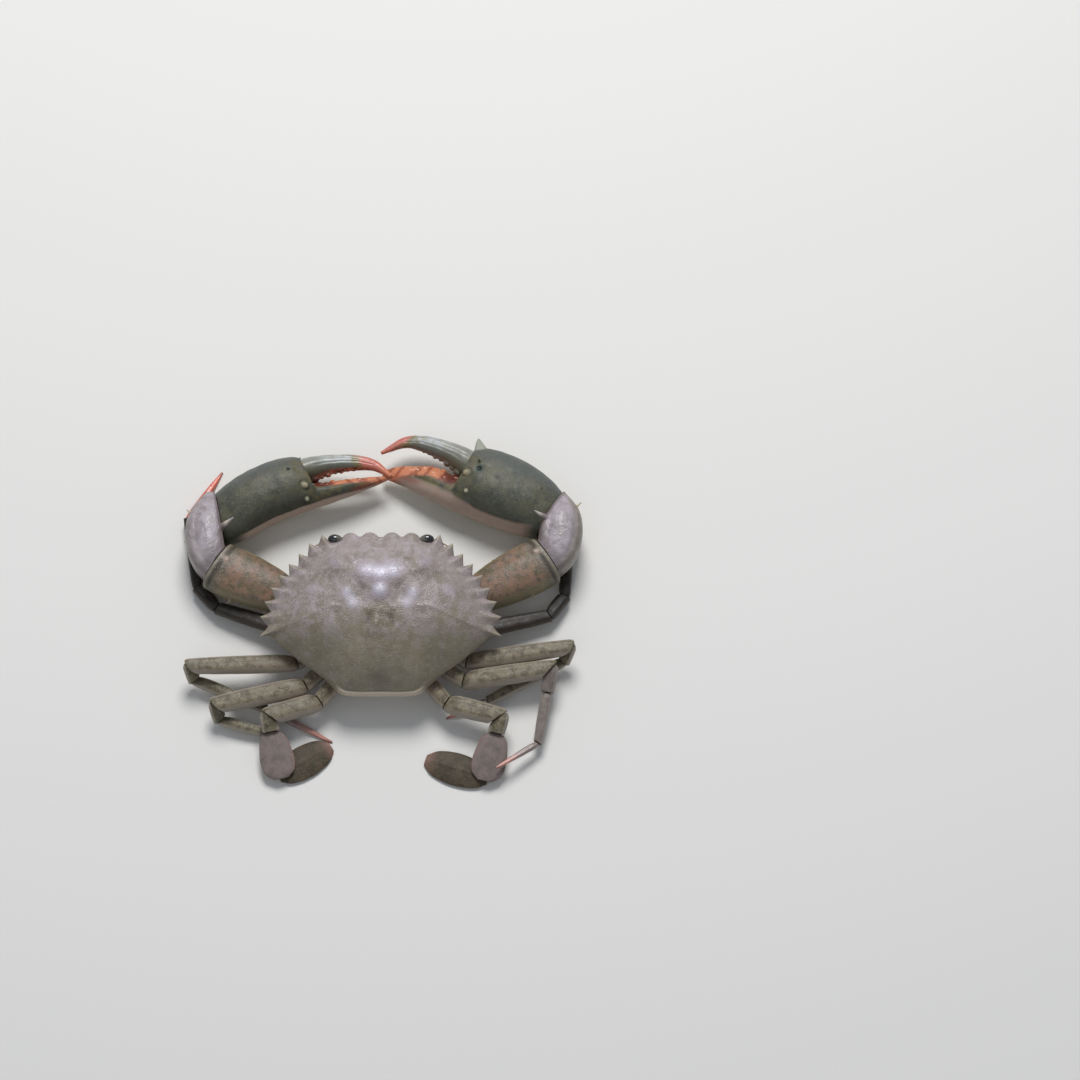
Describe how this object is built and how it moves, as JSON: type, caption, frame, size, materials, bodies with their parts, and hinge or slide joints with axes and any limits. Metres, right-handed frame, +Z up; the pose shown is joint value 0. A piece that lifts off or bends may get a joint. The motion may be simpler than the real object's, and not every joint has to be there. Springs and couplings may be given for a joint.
{
  "type": "crab model",
  "caption": "Life-size still model of a mud crab lying on its belly, claws closed in a ring ahead of a domed, saw-edged shell, legs folded back to flat paddles.",
  "frame": {"origin": "on the floor, under the middle of the crab's bounding box", "axes": "+X to the crab's right, across its claws and legs, +Y ahead of it, +Z up"},
  "size_m": [0.2538, 0.2329, 0.0588],
  "materials": {
    "shell": "satin, mottled lilac grey to olive",
    "belly": "satin, cream",
    "eye": "glossy black",
    "feeler": "satin, red brown",
    "arm": "satin, brown with mauve",
    "palm": "satin, grey green",
    "finger": "satin, grey green to orange",
    "leg": "satin, olive grey with pale dots",
    "paddle": "satin, mauve grey with pale dots"
  },
  "bodies": {
    "root": {"abdomen": "belly", "antenna_left": "feeler", "antenna_right": "feeler", "carapace": "shell", "claw_left_base": "arm", "claw_left_carpus": "arm", "claw_left_dactyl": "finger", "claw_left_merus": "arm", "claw_left_palm": "palm", "claw_right_base": "arm", "claw_right_carpus": "arm", "claw_right_dactyl": "finger", "claw_right_merus": "arm", "claw_right_palm": "palm", "eye_left": "eye", "eye_right": "eye", "leg_1_left_carpus": "leg", "leg_1_left_coxa": "leg", "leg_1_left_dactyl": "leg", "leg_1_left_merus": "leg", "leg_1_left_propodus": "leg", "leg_1_right_carpus": "leg", "leg_1_right_coxa": "leg", "leg_1_right_dactyl": "leg", "leg_1_right_merus": "leg", "leg_1_right_propodus": "leg", "leg_2_left_carpus": "leg", "leg_2_left_coxa": "leg", "leg_2_left_dactyl": "leg", "leg_2_left_merus": "leg", "leg_2_left_propodus": "leg", "leg_2_right_carpus": "leg", "leg_2_right_coxa": "leg", "leg_2_right_dactyl": "leg", "leg_2_right_merus": "leg", "leg_2_right_propodus": "leg", "leg_3_left_carpus": "leg", "leg_3_left_coxa": "leg", "leg_3_left_dactyl": "leg", "leg_3_left_merus": "leg", "leg_3_left_propodus": "leg", "leg_3_right_carpus": "leg", "leg_3_right_coxa": "leg", "leg_3_right_dactyl": "leg", "leg_3_right_merus": "leg", "leg_3_right_propodus": "leg", "maxilliped_left": "belly", "maxilliped_right": "belly", "swim_leg_left_carpus": "leg", "swim_leg_left_coxa": "leg", "swim_leg_left_merus": "leg", "swim_leg_left_paddle": "paddle", "swim_leg_left_propodus": "paddle", "swim_leg_right_carpus": "leg", "swim_leg_right_coxa": "leg", "swim_leg_right_merus": "leg", "swim_leg_right_paddle": "paddle", "swim_leg_right_propodus": "paddle", "thorax": "belly"}
  },
  "joints": []
}
